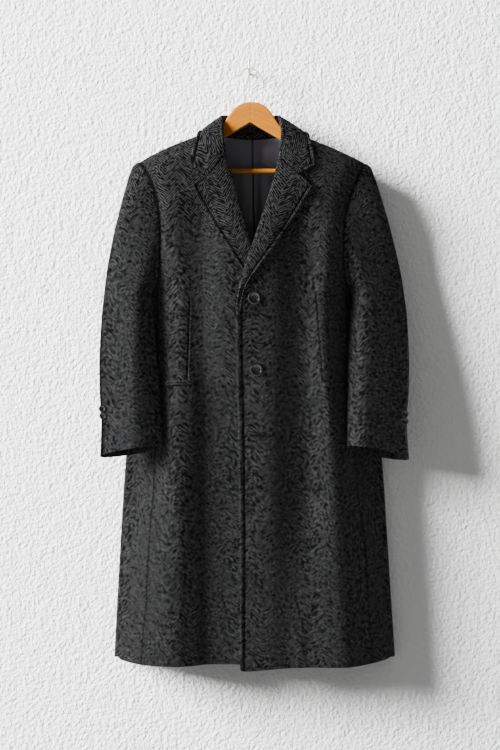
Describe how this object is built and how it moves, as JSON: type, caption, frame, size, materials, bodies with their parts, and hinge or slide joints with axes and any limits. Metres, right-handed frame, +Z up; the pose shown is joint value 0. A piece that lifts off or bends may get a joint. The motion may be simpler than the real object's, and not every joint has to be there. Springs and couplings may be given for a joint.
{
  "type": "wool overcoat on a wooden hanger and wall hook",
  "caption": "Long single-breasted herringbone overcoat with notch lapels, hung open at the neck on a wooden hanger from a wall hook.",
  "frame": {"origin": "where the wall hook's shank meets the wall", "axes": "+Z up, +X towards the wearer's left, and the coat hangs in front of the wall at negative Y"},
  "size_m": [0.6346, 0.1233, 1.2552],
  "materials": {
    "wool": "matt brushed herringbone",
    "lining": "satin",
    "button": "polished",
    "wood": "varnished",
    "wire": "polished",
    "hook": "aged"
  },
  "bodies": {
    "root": {"front_right": "wool", "side_right": "wool", "back_right": "wool", "sleeve_upper_right": "wool", "sleeve_under_right": "wool", "lapel_right": "wool", "pocket_welt_right": "wool", "sleeve_button_right_1": "button", "sleeve_button_right_2": "button", "hanger_arm_right": "wood", "front_left": "wool", "side_left": "wool", "back_left": "wool", "sleeve_upper_left": "wool", "sleeve_under_left": "wool", "lapel_left": "wool", "pocket_welt_left": "wool", "sleeve_button_left_1": "button", "sleeve_button_left_2": "button", "hanger_arm_left": "wood", "collar": "wool", "lining_back": "lining", "hanging_loop": "wool", "front_button_1": "button", "front_button_2": "button", "hanger_bar": "wood", "hanger_hook": "wire", "wall_hook": "hook"}
  },
  "joints": []
}
